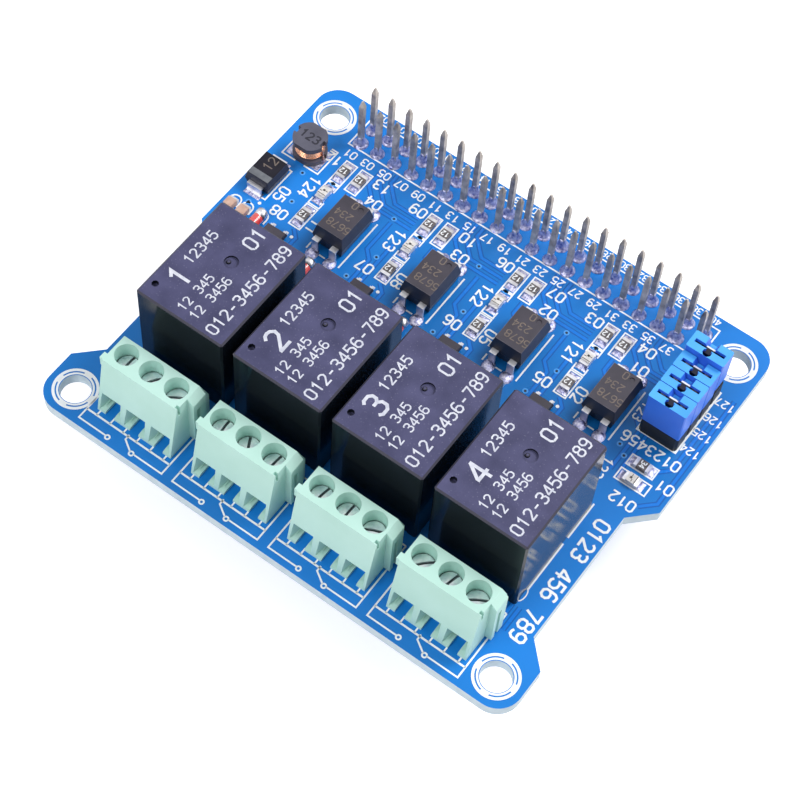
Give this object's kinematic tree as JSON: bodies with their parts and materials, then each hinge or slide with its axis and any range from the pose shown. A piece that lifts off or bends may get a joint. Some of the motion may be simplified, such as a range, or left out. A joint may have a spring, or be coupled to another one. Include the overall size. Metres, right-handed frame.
{
  "type": "relay module board",
  "caption": "Blue plug-on board with a row of sealed relays, screw terminals, optocouplers, selection jumpers, status lights and a long pin header over a socket.",
  "frame": {"origin": "centre of the four corner mounting holes, on the underside of the board", "axes": "+X along the pin header towards the jumpers, +Y from the screw terminals towards the header, +Z out of the component side"},
  "size_m": [0.065, 0.0569, 0.0237],
  "materials": {
    "board": "satin solder mask",
    "pin_metal": "tin plate",
    "black_plastic": "matt",
    "relay_case": "satin top, glossy sides",
    "terminal_plastic": "satin",
    "plated_steel": "zinc plate",
    "plated_brass": "nickel plate",
    "tinned_brass": "tin plate",
    "jumper_plastic": "satin",
    "moulded_black": "moulded",
    "chip_black": "glazed",
    "chip_tan": "ceramic",
    "light_clear": "clear lens",
    "diode_glass": "tinted glass",
    "ferrite": "ground",
    "copper_wire": "enamelled"
  },
  "bodies": {
    "board": {"circuit_board": "board", "header_pins": "pin_metal", "header_socket": "black_plastic", "relay_1": "relay_case", "relay_2": "relay_case", "relay_3": "relay_case", "relay_4": "relay_case", "relay_pins": "pin_metal", "terminal_housing_1": "terminal_plastic", "terminal_housing_2": "terminal_plastic", "terminal_housing_3": "terminal_plastic", "terminal_housing_4": "terminal_plastic", "terminal_contacts": "tinned_brass", "jumper_base": "black_plastic", "jumper_pins": "pin_metal", "jumper_cap_1": "jumper_plastic", "jumper_cap_2": "jumper_plastic", "jumper_cap_3": "jumper_plastic", "jumper_cap_4": "jumper_plastic", "jumper_clips": "pin_metal", "optocoupler_bodies": "moulded_black", "optocoupler_leads": "tinned_brass", "chip_resistors": "chip_black", "chip_capacitors": "chip_tan", "status_lights": "light_clear", "chip_ends": "tinned_brass", "transistor_bodies": "moulded_black", "transistor_leads": "tinned_brass", "glass_diodes": "diode_glass", "choke_core": "ferrite", "choke_winding": "copper_wire", "power_diode_body": "moulded_black", "power_diode_leads": "tinned_brass"},
    "clamp_screw_1_1": {"terminal_screw_1_1": "plated_steel"},
    "wire_cage_1_1": {"terminal_cage_1_1": "plated_brass"},
    "clamp_screw_1_2": {"terminal_screw_1_2": "plated_steel"},
    "wire_cage_1_2": {"terminal_cage_1_2": "plated_brass"},
    "clamp_screw_1_3": {"terminal_screw_1_3": "plated_steel"},
    "wire_cage_1_3": {"terminal_cage_1_3": "plated_brass"},
    "clamp_screw_2_1": {"terminal_screw_2_1": "plated_steel"},
    "wire_cage_2_1": {"terminal_cage_2_1": "plated_brass"},
    "clamp_screw_2_2": {"terminal_screw_2_2": "plated_steel"},
    "wire_cage_2_2": {"terminal_cage_2_2": "plated_brass"},
    "clamp_screw_2_3": {"terminal_screw_2_3": "plated_steel"},
    "wire_cage_2_3": {"terminal_cage_2_3": "plated_brass"},
    "clamp_screw_3_1": {"terminal_screw_3_1": "plated_steel"},
    "wire_cage_3_1": {"terminal_cage_3_1": "plated_brass"},
    "clamp_screw_3_2": {"terminal_screw_3_2": "plated_steel"},
    "wire_cage_3_2": {"terminal_cage_3_2": "plated_brass"},
    "clamp_screw_3_3": {"terminal_screw_3_3": "plated_steel"},
    "wire_cage_3_3": {"terminal_cage_3_3": "plated_brass"},
    "clamp_screw_4_1": {"terminal_screw_4_1": "plated_steel"},
    "wire_cage_4_1": {"terminal_cage_4_1": "plated_brass"},
    "clamp_screw_4_2": {"terminal_screw_4_2": "plated_steel"},
    "wire_cage_4_2": {"terminal_cage_4_2": "plated_brass"},
    "clamp_screw_4_3": {"terminal_screw_4_3": "plated_steel"},
    "wire_cage_4_3": {"terminal_cage_4_3": "plated_brass"}
  },
  "joints": [
    {"name": "screw_turn_1_1", "type": "hinge", "parent": "board", "child": "clamp_screw_1_1", "pos_m": [-0.0236, -0.02118, 0.0075], "axis": [0, 0, -1], "range_deg": [0, 1260]},
    {"name": "cage_rise_1_1", "type": "slide", "parent": "board", "child": "wire_cage_1_1", "axis": [0, 0, 1], "range_m": [0, 0.0014]},
    {"name": "screw_turn_1_2", "type": "hinge", "parent": "board", "child": "clamp_screw_1_2", "pos_m": [-0.0201, -0.02118, 0.0075], "axis": [0, 0, -1], "range_deg": [0, 1260]},
    {"name": "cage_rise_1_2", "type": "slide", "parent": "board", "child": "wire_cage_1_2", "axis": [0, 0, 1], "range_m": [0, 0.0014]},
    {"name": "screw_turn_1_3", "type": "hinge", "parent": "board", "child": "clamp_screw_1_3", "pos_m": [-0.0166, -0.02118, 0.0075], "axis": [0, 0, -1], "range_deg": [0, 1260]},
    {"name": "cage_rise_1_3", "type": "slide", "parent": "board", "child": "wire_cage_1_3", "axis": [0, 0, 1], "range_m": [0, 0.0014]},
    {"name": "screw_turn_2_1", "type": "hinge", "parent": "board", "child": "clamp_screw_2_1", "pos_m": [-0.0102, -0.02118, 0.0075], "axis": [0, 0, -1], "range_deg": [0, 1260]},
    {"name": "cage_rise_2_1", "type": "slide", "parent": "board", "child": "wire_cage_2_1", "axis": [0, 0, 1], "range_m": [0, 0.0014]},
    {"name": "screw_turn_2_2", "type": "hinge", "parent": "board", "child": "clamp_screw_2_2", "pos_m": [-0.0067, -0.02118, 0.0075], "axis": [0, 0, -1], "range_deg": [0, 1260]},
    {"name": "cage_rise_2_2", "type": "slide", "parent": "board", "child": "wire_cage_2_2", "axis": [0, 0, 1], "range_m": [0, 0.0014]},
    {"name": "screw_turn_2_3", "type": "hinge", "parent": "board", "child": "clamp_screw_2_3", "pos_m": [-0.0032, -0.02118, 0.0075], "axis": [0, 0, -1], "range_deg": [0, 1260]},
    {"name": "cage_rise_2_3", "type": "slide", "parent": "board", "child": "wire_cage_2_3", "axis": [0, 0, 1], "range_m": [0, 0.0014]},
    {"name": "screw_turn_3_1", "type": "hinge", "parent": "board", "child": "clamp_screw_3_1", "pos_m": [0.0032, -0.02118, 0.0075], "axis": [0, 0, -1], "range_deg": [0, 1260]},
    {"name": "cage_rise_3_1", "type": "slide", "parent": "board", "child": "wire_cage_3_1", "axis": [0, 0, 1], "range_m": [0, 0.0014]},
    {"name": "screw_turn_3_2", "type": "hinge", "parent": "board", "child": "clamp_screw_3_2", "pos_m": [0.0067, -0.02118, 0.0075], "axis": [0, 0, -1], "range_deg": [0, 1260]},
    {"name": "cage_rise_3_2", "type": "slide", "parent": "board", "child": "wire_cage_3_2", "axis": [0, 0, 1], "range_m": [0, 0.0014]},
    {"name": "screw_turn_3_3", "type": "hinge", "parent": "board", "child": "clamp_screw_3_3", "pos_m": [0.0102, -0.02118, 0.0075], "axis": [0, 0, -1], "range_deg": [0, 1260]},
    {"name": "cage_rise_3_3", "type": "slide", "parent": "board", "child": "wire_cage_3_3", "axis": [0, 0, 1], "range_m": [0, 0.0014]},
    {"name": "screw_turn_4_1", "type": "hinge", "parent": "board", "child": "clamp_screw_4_1", "pos_m": [0.0166, -0.02118, 0.0075], "axis": [0, 0, -1], "range_deg": [0, 1260]},
    {"name": "cage_rise_4_1", "type": "slide", "parent": "board", "child": "wire_cage_4_1", "axis": [0, 0, 1], "range_m": [0, 0.0014]},
    {"name": "screw_turn_4_2", "type": "hinge", "parent": "board", "child": "clamp_screw_4_2", "pos_m": [0.0201, -0.02118, 0.0075], "axis": [0, 0, -1], "range_deg": [0, 1260]},
    {"name": "cage_rise_4_2", "type": "slide", "parent": "board", "child": "wire_cage_4_2", "axis": [0, 0, 1], "range_m": [0, 0.0014]},
    {"name": "screw_turn_4_3", "type": "hinge", "parent": "board", "child": "clamp_screw_4_3", "pos_m": [0.0236, -0.02118, 0.0075], "axis": [0, 0, -1], "range_deg": [0, 1260]},
    {"name": "cage_rise_4_3", "type": "slide", "parent": "board", "child": "wire_cage_4_3", "axis": [0, 0, 1], "range_m": [0, 0.0014]}
  ],
  "couplings": [
    {"joint": "screw_turn_1_1", "follows": "cage_rise_1_1", "rad_per_m": 15708},
    {"joint": "screw_turn_1_2", "follows": "cage_rise_1_2", "rad_per_m": 15708},
    {"joint": "screw_turn_1_3", "follows": "cage_rise_1_3", "rad_per_m": 15708},
    {"joint": "screw_turn_2_1", "follows": "cage_rise_2_1", "rad_per_m": 15708},
    {"joint": "screw_turn_2_2", "follows": "cage_rise_2_2", "rad_per_m": 15708},
    {"joint": "screw_turn_2_3", "follows": "cage_rise_2_3", "rad_per_m": 15708},
    {"joint": "screw_turn_3_1", "follows": "cage_rise_3_1", "rad_per_m": 15708},
    {"joint": "screw_turn_3_2", "follows": "cage_rise_3_2", "rad_per_m": 15708},
    {"joint": "screw_turn_3_3", "follows": "cage_rise_3_3", "rad_per_m": 15708},
    {"joint": "screw_turn_4_1", "follows": "cage_rise_4_1", "rad_per_m": 15708},
    {"joint": "screw_turn_4_2", "follows": "cage_rise_4_2", "rad_per_m": 15708},
    {"joint": "screw_turn_4_3", "follows": "cage_rise_4_3", "rad_per_m": 15708}
  ]
}
